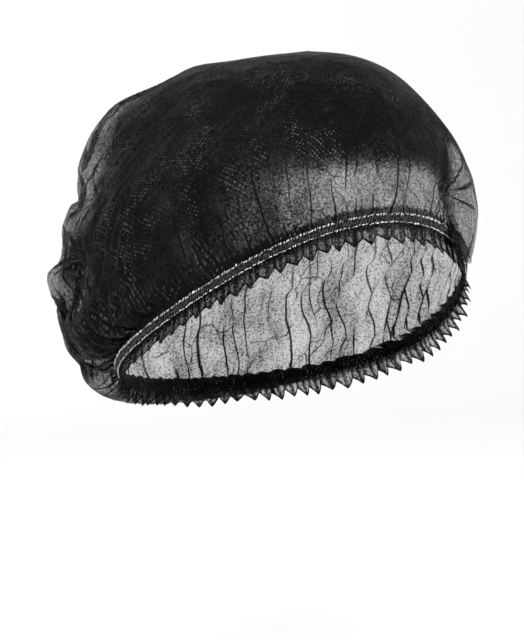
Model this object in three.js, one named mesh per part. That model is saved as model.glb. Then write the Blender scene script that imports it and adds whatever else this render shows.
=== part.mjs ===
// A disposable bouffant cap in its worn form. A sheer non-woven crown is gathered on to a sewn
// elastic band, and the margin of the cloth stands out below the band as a pleated ruffle.
// Millimetres, +Z up. The wearer faces -Y, and the origin is the centre of the head opening.
import * as THREE from "three";

// Cloth and elastic
const WALL = 1.0;
const GAP = 0.3;
const BAND_WIDTH = 4.6;
const BAND_THICKNESS = 1.3;
const BAND_CORNER = 0.4;

// The cloth runs straight behind the band and a little past its edges.
const STRAIGHT_MARGIN = 0.7;
const COVERED = BAND_WIDTH / 2 + STRAIGHT_MARGIN;

// Ruffle below the band. Its pleats stand out further at the sides, where they sit over the ears.
const PLEATS = 66;
const RUFFLE_DROP = 10;
const PLEAT_DEPTH = 3.8;
const NOTCH_SHARE = 0.36;
const PLEAT_UNEVENNESS = 0.25;
const FRONT_FLARE = THREE.MathUtils.degToRad(10);
const SIDE_FLARE = THREE.MathUtils.degToRad(32);

// Columns of one pleat: where each lies in it, and how much of a crest it is
const PLEAT_COLUMNS = [
  { share: 0, crest: 1 },
  { share: 0.3, crest: 0.7 },
  { share: 0.65, crest: 0 },
];

// Gathers above the band
const GATHERS = 24;
const GATHER_DEPTH = 2.4;
const GATHER_RISE = 7;
const GATHER_FADE = 34;
const GATHER_UNEVENNESS = 0.4;
const GATHER_DEPTH_CHANGES = 9;

// Facets
const CROWN_COLUMNS = 96;
const CROWN_ROWS = 20;
const CROWN_ROW_GROWTH = 1.12;
const BAND_COLUMNS = 96;

// Sections of the cloth, from the middle of the band up to the apex. front and back are the section's
// points in the middle plane, and its sides hang side_drop below the straight line between them. The
// tapers are the shares by which a section is narrower towards the brow and towards the nape.
const SECTIONS = [
  { front_y: -87, front_z: 41.5, back_y: 87, back_z: -41.5, half_width: 81, side_drop: 14, brow: 0, nape: 0.28 },
  { front_y: -87.6, front_z: 45.4, back_y: 90, back_z: -38.9, half_width: 82.2, side_drop: 14, brow: 0, nape: 0.27 },
  { front_y: -89, front_z: 55, back_y: 108, back_z: -51, half_width: 86, side_drop: 13, brow: 0, nape: 0.16 },
  { front_y: -90, front_z: 68, back_y: 125, back_z: -25, half_width: 91, side_drop: 10, brow: 0.03, nape: 0.05 },
  { front_y: -87, front_z: 82, back_y: 128, back_z: 18, half_width: 92, side_drop: 6, brow: 0.09, nape: 0 },
  { front_y: -77, front_z: 97, back_y: 121, back_z: 62, half_width: 78, side_drop: 2, brow: 0.18, nape: 0 },
  { front_y: -61, front_z: 109, back_y: 91, back_z: 95, half_width: 58.5, side_drop: 0, brow: 0.2, nape: 0 },
  { front_y: -45, front_z: 115.5, back_y: 42, back_z: 111, half_width: 34, side_drop: 0, brow: 0.2, nape: 0 },
];
const APEX = new THREE.Vector3(0, -20, 118.5);

// Billows and creases of the crown. Each runs from one place to another: an angle in degrees from the
// front towards the wearer's right, and a height as a share of the way from the band to the apex.
// depth is outwards, so a crease has a negative one.
const FOLDS = [
  { from_angle: 35, from_height: 0.28, to_angle: 75, to_height: 0.24, width: 22, depth: 4 },
  { from_angle: -75, from_height: 0.17, to_angle: -35, to_height: 0.2, width: 20, depth: 4 },
  { from_angle: 100, from_height: 0.57, to_angle: 205, to_height: 0.61, width: 22, depth: 4 },
  { from_angle: 108, from_height: 0.42, to_angle: 222, to_height: 0.46, width: 9, depth: -2 },
  { from_angle: 102, from_height: 0.28, to_angle: 190, to_height: 0.32, width: 12, depth: 6 },
  { from_angle: 104, from_height: 0.195, to_angle: 235, to_height: 0.235, width: 8, depth: -2.5 },
  { from_angle: 95, from_height: 0.145, to_angle: 175, to_height: 0.165, width: 11, depth: 4 },
  { from_angle: 190, from_height: 0.18, to_angle: 250, to_height: 0.15, width: 12, depth: 4 },
  { from_angle: 215, from_height: 0.36, to_angle: 265, to_height: 0.31, width: 16, depth: 4.5 },
  { from_angle: 100, from_height: 0.68, to_angle: 160, to_height: 0.72, width: 9, depth: -2.5 },
  { from_angle: 95, from_height: 0.75, to_angle: 165, to_height: 0.79, width: 11, depth: 2 },
];
const FOLD_MM_PER_DEGREE = 1.6;
const FOLD_MM_PER_HEIGHT = 220;
const FOLD_START = 12;
const FOLD_END = 0.88;

const TURN = 2 * Math.PI;
const POLE_SIZE = 1e-6;
const { clamp, euclideanModulo, lerp, radToDeg, smoothstep } = THREE.MathUtils;

// A repeatable number from -1 to 1 for pleat or gather number i.
function unevenness(i) {
  return Math.sin(i * 2.4) * 0.6 + Math.sin(i * 5.1 + 1) * 0.4;
}

function angles(count) {
  return Array.from({ length: count }, (_, i) => (i / count) * TURN);
}

function sectionPoint(section, angle) {
  const forward = (1 + Math.cos(angle)) / 2;
  const across = Math.sin(angle);
  const taper = Math.cos(angle) > 0 ? section.brow : section.nape;
  const narrowing = 1 - taper * Math.cos(angle) ** 2;
  return new THREE.Vector3(
    -section.half_width * narrowing * across,
    lerp(section.back_y, section.front_y, forward),
    lerp(section.back_z, section.front_z, forward) - section.side_drop * across ** 2,
  );
}

// The line of the cloth from the band up to the apex, at one angle round the head.
function meridian(angle) {
  return new THREE.CatmullRomCurve3([...SECTIONS.map((section) => sectionPoint(section, angle)), APEX]);
}

// The frame of the band at one angle: its middle, the way up the cloth, and the way out of it.
function bandFrame(angle) {
  const middle = sectionPoint(SECTIONS[0], angle);
  const step = 1e-3;
  const along = sectionPoint(SECTIONS[0], angle + step).sub(sectionPoint(SECTIONS[0], angle - step)).normalize();
  const lean = sectionPoint(SECTIONS[1], angle).sub(middle);
  const out = lean.clone().cross(along).normalize();
  const up = along.clone().cross(out).normalize();
  return { middle, up, out };
}

function at({ middle, up, out }, rise, proud) {
  return middle.clone().addScaledVector(up, rise).addScaledVector(out, proud);
}

// Distances are measured on the cloth laid flat. A degree is shorter nearer the apex.
function foldOffset(angle, height) {
  const degree = FOLD_MM_PER_DEGREE * Math.sqrt(1 - height);
  let sum = 0;
  for (const fold of FOLDS) {
    const start = new THREE.Vector2(0, fold.from_height * FOLD_MM_PER_HEIGHT);
    const end = new THREE.Vector2(
      (fold.to_angle - fold.from_angle) * degree,
      fold.to_height * FOLD_MM_PER_HEIGHT,
    );
    const turn = euclideanModulo(radToDeg(angle) - fold.from_angle + 90, 360) - 90;
    const here = new THREE.Vector2(turn * degree, height * FOLD_MM_PER_HEIGHT);
    const along = end.clone().sub(start);
    const share = clamp(here.clone().sub(start).dot(along) / along.lengthSq(), 0, 1);
    const away = here.distanceTo(start.clone().addScaledVector(along, share));
    sum += fold.depth * Math.exp(-((away / fold.width) ** 2));
  }
  return sum;
}

// Gathers start at the top of the band, are deepest a little above it and die out up the crown.
function gatherOffset(angle, rise) {
  const above = Math.max(0, rise - COVERED);
  const envelope = (1 - Math.exp(-above / GATHER_RISE)) * Math.exp(-above / GATHER_FADE);
  const uneven = 1 + GATHER_UNEVENNESS * unevenness((angle / TURN) * GATHER_DEPTH_CHANGES);
  return GATHER_DEPTH * uneven * envelope * Math.sin(GATHERS * angle);
}

// How far up the cloth a row of the crown lies on a meridian of this length.
function rowRise(row, length) {
  if (row === 0) return GAP / 2;
  const share = ((row - 1) / (CROWN_ROWS - 1)) ** CROWN_ROW_GROWTH;
  return lerp(COVERED, length, share);
}

function normalsOf(grid) {
  const columns = grid[0].length;
  const normals = grid.map((row) => row.map(() => new THREE.Vector3()));
  for (let r = 0; r + 1 < grid.length; r++) {
    for (let c = 0; c < columns; c++) {
      const d = (c + 1) % columns;
      const corners = [[r, c], [r, d], [r + 1, d], [r + 1, c]];
      const [a, b, e, f] = corners.map(([i, j]) => grid[i][j]);
      const face = f.clone().sub(b).cross(e.clone().sub(a)).normalize();
      for (const [i, j] of corners) normals[i][j].add(face);
    }
  }
  grid.forEach((row, r) => {
    const isPole = row[0].distanceTo(row[1]) < POLE_SIZE;
    const mean = normals[r].reduce((sum, normal) => sum.add(normal), new THREE.Vector3());
    normals[r].forEach((normal) => (isPole ? normal.copy(mean) : normal).normalize());
  });
  return normals;
}

// Two copies of a sheet of points, half the wall out and half the wall in.
function wallOf(grid) {
  const normals = normalsOf(grid);
  const shifted = (by) => grid.map((row, r) => row.map((p, c) => p.clone().addScaledVector(normals[r][c], by)));
  return { outer: shifted(WALL / 2), inner: shifted(-WALL / 2) };
}

// Joins rows of points into one closed skin. Each row runs once round the head. Where the rows don't
// run round into a ring, the first and the last of them are poles.
function skin(rows, isRing) {
  const columns = rows[0].length;
  const positions = rows.flat().flatMap((p) => p.toArray());
  const index = [];
  const strips = isRing ? rows.length : rows.length - 1;
  for (let r = 0; r < strips; r++) {
    const next = (r + 1) % rows.length;
    for (let c = 0; c < columns; c++) {
      const d = (c + 1) % columns;
      const [a, b, e, f] = [r * columns + c, r * columns + d, next * columns + d, next * columns + c];
      if (isRing || r > 0) index.push(a, b, e);
      if (isRing || r + 2 < rows.length) index.push(a, e, f);
    }
  }
  const geometry = new THREE.BufferGeometry();
  geometry.setAttribute("position", new THREE.Float32BufferAttribute(positions, 3));
  geometry.setIndex(index);
  geometry.computeVertexNormals();
  return geometry;
}

function crownGeometry() {
  const columns = angles(CROWN_COLUMNS);
  const lines = columns.map((angle) => meridian(angle));
  const lengths = lines.map((line) => line.getLength());
  const rows = Array.from({ length: CROWN_ROWS + 1 }, (_, row) => row);
  const smooth = rows.map((row) => lines.map((line, c) => line.getPointAt(rowRise(row, lengths[c]) / lengths[c])));
  const normals = normalsOf(smooth);
  const cloth = smooth.map((points, row) =>
    points.map((point, c) => {
      const rise = rowRise(row, lengths[c]);
      const height = rise / lengths[c];
      const freeOfBand = smoothstep(rise, COVERED, COVERED + FOLD_START);
      const clearOfApex = 1 - smoothstep(height, FOLD_END, 1);
      const offset = gatherOffset(columns[c], rise) + freeOfBand * foldOffset(columns[c], height);
      return point.clone().addScaledVector(normals[row][c], clearOfApex * offset);
    }),
  );
  const { outer, inner } = wallOf(cloth);
  return skin([...outer.reverse(), ...inner], false);
}

// A crest stands out and hangs to the full drop. The cloth between two crests is shorter.
function ruffleGeometry() {
  const pleats = Array.from({ length: PLEATS }, (_, pleat) => pleat);
  const columns = pleats.flatMap((pleat) =>
    PLEAT_COLUMNS.map(({ share, crest }) => ({
      angle: ((pleat + share) / PLEATS) * TURN,
      crest,
      uneven: 1 + PLEAT_UNEVENNESS * unevenness(pleat),
    })),
  );
  const stations = [
    { rise: -GAP / 2, share: 0 },
    { rise: -COVERED, share: 0.04 },
    { rise: -COVERED, share: 1 },
  ];
  const grid = stations.map(({ rise, share }) =>
    columns.map(({ angle, crest, uneven }) => {
      const flare = lerp(FRONT_FLARE, SIDE_FLARE, Math.sin(angle) ** 2);
      const drop = share * RUFFLE_DROP * lerp(1 - NOTCH_SHARE * uneven, uneven ** 0.5, crest);
      const proud = share * PLEAT_DEPTH * uneven * crest;
      return at(bandFrame(angle), rise - drop * Math.cos(flare), proud + drop * Math.sin(flare));
    }),
  );
  const { outer, inner } = wallOf([...grid].reverse());
  return skin([...outer.reverse(), ...inner], true);
}

function bandGeometry() {
  const half = BAND_WIDTH / 2;
  const back = WALL / 2 + GAP;
  const front = back + BAND_THICKNESS;
  const section = [
    [half - BAND_CORNER, front],
    [-half + BAND_CORNER, front],
    [-half, front - BAND_CORNER],
    [-half, back + BAND_CORNER],
    [-half + BAND_CORNER, back],
    [half - BAND_CORNER, back],
    [half, back + BAND_CORNER],
    [half, front - BAND_CORNER],
  ];
  const frames = angles(BAND_COLUMNS).map(bandFrame);
  const rows = section.map(([rise, proud]) => frames.map((frame) => at(frame, rise, proud)));
  return skin(rows, true);
}

const veil = new THREE.MeshStandardMaterial({ color: 0x151616, roughness: 0.82, metalness: 0 });
const elastic = new THREE.MeshStandardMaterial({ color: 0x2b2d2d, roughness: 0.7, metalness: 0 });

function piece(name, geometry, material) {
  const mesh = new THREE.Mesh(geometry, material);
  mesh.name = name;
  return mesh;
}

const cap = new THREE.Group();
cap.add(piece("crown", crownGeometry(), veil));
cap.add(piece("elastic_band", bandGeometry(), elastic));
cap.add(piece("ruffle", ruffleGeometry(), veil));

export default cap;
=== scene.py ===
"""A disposable bouffant cap in its worn form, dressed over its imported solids.

The veil is one sheet of sheer non-woven cloth. Above the elastic it is the gathered crown, and below
the elastic its margin stands out as a pleated ruffle. Lengths are in metres and +Z is up. The cap's
front faces -Y and its left, as worn, is +X. Angles round the cap start at the front and turn towards
the right. A height is measured up the cloth from the rim, and a level is a place along Z.
"""

from __future__ import annotations

import logging
import math
from collections.abc import Callable
from dataclasses import dataclass, field
from enum import Enum

import bmesh
import bpy
import numpy as np
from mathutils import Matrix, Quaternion, Vector

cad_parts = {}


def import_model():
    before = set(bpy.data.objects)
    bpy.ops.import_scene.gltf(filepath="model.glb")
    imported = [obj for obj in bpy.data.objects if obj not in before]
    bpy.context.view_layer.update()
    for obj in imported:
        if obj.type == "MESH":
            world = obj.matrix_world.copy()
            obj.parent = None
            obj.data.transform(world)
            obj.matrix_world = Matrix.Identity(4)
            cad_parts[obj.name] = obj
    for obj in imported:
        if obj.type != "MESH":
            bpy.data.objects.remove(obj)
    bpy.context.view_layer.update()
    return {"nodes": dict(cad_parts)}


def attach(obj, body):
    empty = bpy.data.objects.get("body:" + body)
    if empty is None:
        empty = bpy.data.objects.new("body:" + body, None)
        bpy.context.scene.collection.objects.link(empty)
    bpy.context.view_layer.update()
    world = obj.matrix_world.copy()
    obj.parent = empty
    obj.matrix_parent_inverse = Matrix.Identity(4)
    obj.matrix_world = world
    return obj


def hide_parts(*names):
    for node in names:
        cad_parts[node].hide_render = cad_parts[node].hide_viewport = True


LOG = logging.getLogger("cap")
MM = 0.001
TURN = 2 * math.pi
ROOT = "root"
CLOTH_THICKNESS = 0.22 * MM
# Height of the cloth that lies behind the elastic, above the elastic's middle.
BEHIND_ELASTIC = 2.4 * MM

Socket = bpy.types.NodeSocket
Colour = tuple[float, float, float, float]
# Where a smooth change starts and ends, and where a rise and then a fall start and end.
Range = tuple[float, float]
Ends = tuple[float, float, float, float]


class Slot(Enum):
    """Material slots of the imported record."""

    VEIL = "veil"
    ELASTIC = "elastic"


class Layer(Enum):
    """What a sheet carries for its finish.

    The first three are values at its points: how dense the cloth is, how sharply it is gathered, and how
    loosely it hangs. The others are maps: places along and up the cloth, places beside the rim, and
    bearings and distances from the point where the cloth is pinched at the front left.
    """

    DENSITY = "cloth_density"
    GATHERED = "gathered"
    LOOSE = "loose"
    CLOTH = "cloth"
    BESIDE = "beside_rim"
    PINCH = "pinch"


def smoothstep(low: float, high: float, x: np.ndarray) -> np.ndarray:
    """Rises smoothly from 0 at low to 1 at high.

    Args:
        low: Where the rise starts.
        high: Where it ends.
        x: The values to place on the rise.

    Returns:
        The height of the rise at each value.
    """
    share = np.clip((x - low) / (high - low), 0, 1)
    return share * share * (3 - 2 * share)


def fall(low: float, high: float, x: np.ndarray) -> np.ndarray:
    """Falls smoothly from 1 at low to 0 at high."""
    return 1 - smoothstep(low, high, x)


def plateau(ends: Ends, x: np.ndarray) -> np.ndarray:
    """Rises smoothly from 0 to 1 between the first two ends and falls to 0 between the last two."""
    return smoothstep(ends[0], ends[1], x) * fall(ends[2], ends[3], x)


def bell(middle: float, width: float, x: np.ndarray) -> np.ndarray:
    """A bell curve that is 1 at its middle."""
    return np.exp(-(((x - middle) / width) ** 2))


def stacked(*parts: np.ndarray | float) -> np.ndarray:
    """Coordinates put side by side along a last axis."""
    return np.stack(np.broadcast_arrays(*parts), axis=-1)


def rows_at(known: np.ndarray, values: np.ndarray, wanted: np.ndarray) -> np.ndarray:
    """Interpolates rows of values with a cubic through the known rows.

    Args:
        known: The height of each known row, rising.
        values: The known rows, along the first axis.
        wanted: The heights of the rows to make.

    Returns:
        The rows at the wanted heights.
    """
    slopes = np.gradient(values, known, axis=0)
    low = np.clip(np.searchsorted(known, wanted) - 1, 0, len(known) - 2)
    column = (-1,) + (1,) * (values.ndim - 1)
    span = (known[low + 1] - known[low]).reshape(column)
    u = ((wanted - known[low]) / (known[low + 1] - known[low])).reshape(column)
    start = values[low] * (1 + 2 * u) + slopes[low] * span * u
    end = values[low + 1] * (3 - 2 * u) + slopes[low + 1] * span * (u - 1)
    return start * (1 - u) ** 2 + end * u**2


def columns_at(
    values: np.ndarray,
    count: int,
    keep: Callable[[np.ndarray], np.ndarray] | None = None,
) -> np.ndarray:
    """Resamples rows that run once round the cap to another number of columns.

    Args:
        values: Rows along the first axis and columns along the second.
        count: The number of columns to make.
        keep: Gives the share of each harmonic to keep. None keeps them all.

    Returns:
        The resampled rows.
    """
    waves = np.fft.rfft(values, axis=1)
    if keep is not None:
        waves = waves * keep(np.arange(waves.shape[1]))[None, :, None]
    return np.fft.irfft(waves, n=count, axis=1) * count / values.shape[1]


def unit(vectors: np.ndarray) -> np.ndarray:
    """Vectors along the last axis, each made one long."""
    return vectors / np.maximum(np.linalg.norm(vectors, axis=-1, keepdims=True), 1e-12)


def normals_of(rows: np.ndarray) -> np.ndarray:
    """Outward normals of a grid whose rows go up and whose columns go round towards the right."""
    across = np.roll(rows, -1, axis=1) - np.roll(rows, 1, axis=1)
    return unit(np.cross(np.gradient(rows, axis=0), across))


def new_object(name: str, data: bpy.types.ID) -> bpy.types.Object:
    """Links a mesh, a light or a camera to the scene as an object at the origin."""
    made = bpy.data.objects.new(name, data)
    bpy.context.scene.collection.objects.link(made)
    return made


def make_active(piece: bpy.types.Object) -> None:
    """Selects one object alone and makes it the active one."""
    bpy.ops.object.select_all(action="DESELECT")
    piece.select_set(True)
    bpy.context.view_layer.objects.active = piece


def thicken(piece: bpy.types.Object, thickness: float) -> None:
    """Gives a sheet its thickness.

    Args:
        piece: The sheet.
        thickness: Its thickness, half to each side.
    """
    wall = piece.modifiers.new("wall", "SOLIDIFY")
    wall.thickness = thickness
    wall.offset = 0
    make_active(piece)
    bpy.ops.object.modifier_apply(modifier=wall.name)


def finish_piece(piece: bpy.types.Object, material: bpy.types.Material) -> None:
    """Puts a piece on the cap's body and its finish.

    Args:
        piece: The piece.
        material: Its finish.
    """
    piece.data.materials.clear()
    piece.data.materials.append(material)
    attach(piece, ROOT)
    LOG.info("%s: %d faces", piece.name, len(piece.data.polygons))


class NodeTree:
    """A short way to add shader nodes to a tree and join them."""

    def __init__(self, tree: bpy.types.NodeTree) -> None:
        """Starts on a tree."""
        self.tree = tree

    def fill(self, node: bpy.types.Node, inputs: dict[str | int, object]) -> None:
        """Gives a node its inputs.

        Args:
            node: The node.
            inputs: A value for each named or numbered socket, or the socket that feeds it.
        """
        for name, value in inputs.items():
            if isinstance(value, bpy.types.NodeSocket):
                self.tree.links.new(value, node.inputs[name])
            else:
                node.inputs[name].default_value = value

    def add(self, kind: str, inputs: dict[str | int, object], **settings: object) -> bpy.types.Node:
        """Adds a node.

        Args:
            kind: Its type, without the leading ShaderNode.
            inputs: Its inputs, as for fill.
            settings: Its other properties.

        Returns:
            The node.
        """
        node = self.tree.nodes.new("ShaderNode" + kind)
        for name, value in settings.items():
            setattr(node, name, value)
        self.fill(node, inputs)
        return node

    def math(self, operation: str, *values: object) -> Socket:
        """Adds a Math node and gives its result."""
        return self.add("Math", dict(enumerate(values)), operation=operation).outputs[0]

    def vector(self, operation: str, *values: object) -> Socket:
        """Adds a Vector Math node and gives its vector."""
        return self.add("VectorMath", dict(enumerate(values)), operation=operation).outputs[0]

    def scaled(self, vector: Socket, factor: object) -> Socket:
        """Scales a vector."""
        return self.add("VectorMath", {0: vector, "Scale": factor}, operation="SCALE").outputs[0]

    def noise(self, place: Socket, scale: object, detail: float, flat: bool = True) -> bpy.types.Node:
        """Adds a Noise Texture, over two coordinates or over all three."""
        inputs = {"Vector": place, "Scale": scale, "Detail": detail}
        return self.add("TexNoise", inputs, noise_dimensions="2D" if flat else "3D")

    def ramp(self, value: Socket, low: float, high: float, start: float, end: float) -> Socket:
        """Maps a value from one range to another."""
        inputs = {"Value": value, "From Min": low, "From Max": high, "To Min": start, "To Max": end}
        return self.add("MapRange", inputs).outputs[0]

    def group(self, tree: bpy.types.NodeTree, inputs: dict[str | int, object]) -> Socket:
        """Places a node group and gives its output."""
        return self.add("Group", inputs, node_tree=tree).outputs[0]


class NodeGroup(NodeTree):
    """A shader node group with a vector and some values as its inputs, and one value as its output."""

    def __init__(self, name: str, place: str, values: tuple[str, ...], output: str) -> None:
        """Starts the group.

        Args:
            name: The group's name.
            place: Name of its vector.
            values: Names of its values.
            output: Name of its output.
        """
        super().__init__(bpy.data.node_groups.new(name, "ShaderNodeTree"))
        sockets = [(place, "INPUT", "Vector")]
        sockets += [(value, "INPUT", "Float") for value in values]
        sockets.append((output, "OUTPUT", "Float"))
        for socket, way, kind in sockets:
            self.tree.interface.new_socket(socket, in_out=way, socket_type="NodeSocket" + kind)
        for kind, label in (("NodeGroupInput", "in"), ("NodeGroupOutput", "out")):
            self.tree.nodes.new(kind).name = label

    def source(self, name: str) -> Socket:
        """One of the group's inputs."""
        return self.tree.nodes["in"].outputs[name]

    def per(self, name: str) -> Socket:
        """One over one of the group's inputs."""
        return self.math("DIVIDE", 1.0, self.source(name))

    def drawn(self, place: str, width: str, length: str) -> Socket:
        """A place, counted in widths across and in lengths upwards."""
        cells = self.add("CombineXYZ", {"X": self.per(width), "Y": self.per(length)}).outputs[0]
        return self.vector("MULTIPLY", self.source(place), cells)

    def give(self, value: Socket) -> bpy.types.NodeTree:
        """Joins a value to the group's output and gives the finished group."""
        self.tree.links.new(value, self.tree.nodes["out"].inputs[0])
        return self.tree


def bond_points_group() -> bpy.types.NodeTree:
    """Points that bond the cloth's fibres, on a diagonal grid, with a painted glint. Some are painted
    brighter than others, as if they caught more light.

    Returns:
        A group that gives up to 1 on a point and 0 between points.
    """
    made = NodeGroup("bond points", "Cloth", ("Pitch",), "Mask")
    drift_scale, drift_reach = 0.11, 1.4
    inner_radius, outer_radius = 0.18, 0.32
    dull_share, dull_light = 0.35, 0.06
    flat = (1.0, 1.0, 0.0)
    turn = {"Vector": made.source("Cloth"), "Angle": math.radians(45)}
    turned = made.add("VectorRotate", turn, rotation_type="Z_AXIS").outputs[0]
    cells = made.scaled(turned, made.per("Pitch"))
    drift = made.noise(cells, drift_scale, 0.0).outputs["Color"]
    uneven = made.vector("ADD", cells, made.scaled(drift, drift_reach))
    corner = made.vector("FLOOR", made.vector("MULTIPLY", uneven, flat))
    chance = made.add("TexWhiteNoise", {"Vector": corner}).outputs["Value"]
    offset = made.vector("SUBTRACT", made.vector("FRACTION", uneven), (0.5, 0.5, 0.0))
    beside = made.vector("MULTIPLY", offset, flat)
    distance = made.add("VectorMath", {0: beside}, operation="LENGTH").outputs["Value"]
    point = made.ramp(distance, inner_radius, outer_radius, 1.0, 0.0)
    # Painted glint: a random brightness for each point, so that some look lit and others dull.
    light = made.ramp(chance, dull_share, 1.0, dull_light, 1.0)
    return made.give(made.math("MULTIPLY", point, light))


def fibres_group() -> bpy.types.NodeTree:
    """Uneven fibres of a spun-bonded cloth: flecks where strands lie thick, in cloudy places.

    Returns:
        A group that gives the fibres' amount, about 1 on average.
    """
    made = NodeGroup("fibres", "Place", ("Fibre", "Cloud"), "Amount")
    place = made.source("Place")
    tangled, thin, thick = (0.5, 0.66), 0.8, 2.0
    clouded, paler, darker = (0.3, 0.7), 0.85, 1.15
    tangle = made.noise(place, made.per("Fibre"), 1.0, flat=False).outputs[0]
    cloud = made.noise(place, made.per("Cloud"), 1.0, flat=False).outputs[0]
    strand = made.ramp(tangle, *tangled, thin, thick)
    return made.give(made.math("MULTIPLY", strand, made.ramp(cloud, *clouded, paler, darker)))


def gather_lines_group() -> bpy.types.NodeTree:
    """Thin wavy creases that run up the cloth from the rim, at uneven distances.

    Returns:
        A group that gives 1 on a crease and 0 between creases.
    """
    made = NodeGroup("gather lines", "Beside", ("Spacing", "Length", "Width", "Sway"), "Mask")
    sway_scale, edge_softness = 0.45, 1.3
    patch_scale, patch_edge = 1.3, (0.36, 0.5)
    drawn = made.drawn("Beside", "Spacing", "Length")
    along = made.add("SeparateXYZ", {0: drawn}).outputs[0]
    sway = made.noise(drawn, sway_scale, 2.0).outputs[0]
    place = {"W": made.math("MULTIPLY_ADD", sway, made.source("Sway"), along), "Scale": 1.0}
    edge = made.add("TexVoronoi", place, voronoi_dimensions="1D", feature="DISTANCE_TO_EDGE")
    away = made.math("MULTIPLY", edge.outputs["Distance"], made.source("Spacing"))
    line = made.math("SUBTRACT", edge_softness, made.math("DIVIDE", away, made.source("Width")))
    sharp = made.math("MINIMUM", made.math("MAXIMUM", line, 0.0), 1.0)
    patch = made.noise(drawn, patch_scale, 0.0).outputs[0]
    return made.give(made.math("MULTIPLY", sharp, made.ramp(patch, *patch_edge, 0.0, 1.0)))


def soft_folds_group() -> bpy.types.NodeTree:
    """Soft folds that run up the cloth from the rim and fade out below the apex.

    Returns:
        A group that gives how much cloth lies there, about 1 on average.
    """
    made = NodeGroup("soft folds", "Beside", ("Width", "Length"), "Amount")
    folded, least, most = (0.34, 0.66), -0.24, 0.26
    fading = (0.6, 1.3)
    drawn = made.drawn("Beside", "Width", "Length")
    fold = made.ramp(made.noise(drawn, 1.0, 2.0).outputs[0], *folded, least, most)
    height = made.add("SeparateXYZ", {0: drawn}).outputs[1]
    strength = made.ramp(height, *fading, 1.0, 0.0)
    return made.give(made.math("MULTIPLY_ADD", fold, strength, 1.0))


def crumple_group() -> bpy.types.NodeTree:
    """A broken web of fine creases in cloth that hangs loose.

    Returns:
        A group that gives 1 on a crease and 0 between creases.
    """
    made = NodeGroup("crumple", "Cloth", ("Size",), "Mask")
    bend, line_width, patch_edge = 11 * MM, 0.03, (0.45, 0.62)
    cloth = made.source("Cloth")
    scale = made.per("Size")
    drift = made.noise(cloth, scale, 2.0).outputs["Color"]
    place = {"Vector": made.vector("ADD", cloth, made.scaled(drift, bend)), "Scale": scale}
    web = made.add("TexVoronoi", place, voronoi_dimensions="2D", feature="DISTANCE_TO_EDGE")
    line = made.ramp(web.outputs["Distance"], 0.0, line_width, 1.0, 0.0)
    patch = made.noise(cloth, scale, 0.0).outputs[0]
    return made.give(made.math("MULTIPLY", line, made.ramp(patch, *patch_edge, 0.0, 1.0)))


def yarn_group() -> bpy.types.NodeTree:
    """Twisted yarn with loose hairs: painted light and shade along the thread, which also serves as the
    twist's height, so raised strands look lit and hollows look shaded.

    Returns:
        A group that gives the yarn's lightness from 0 to 1.
    """
    made = NodeGroup("yarn", "Place", ("Strand",), "Lightness")
    twisted = (0.38, 0.62)
    noise = made.noise(made.source("Place"), made.per("Strand"), 3.0, flat=False).outputs[0]
    return made.give(made.ramp(noise, *twisted, 0.0, 1.0))


class MaterialTree(NodeTree):
    """The nodes of a new material."""

    def __init__(self, name: str) -> None:
        """Starts a material of a name."""
        self.made = bpy.data.materials.new(name)
        self.made.use_nodes = True
        super().__init__(self.made.node_tree)

    def place(self) -> Socket:
        """Places on the piece."""
        return self.add("TexCoord", {}).outputs["Object"]

    def mixed(self, share: Socket, low: Colour, high: Colour) -> Socket:
        """A colour between two."""
        return self.add("Mix", {"Factor": share, 6: low, 7: high}, data_type="RGBA").outputs[2]

    def shade(self, inputs: dict[str | int, object]) -> bpy.types.Material:
        """Gives the shader its inputs, and gives the finished material."""
        self.fill(self.tree.nodes["Principled BSDF"], inputs)
        return self.made


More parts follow.
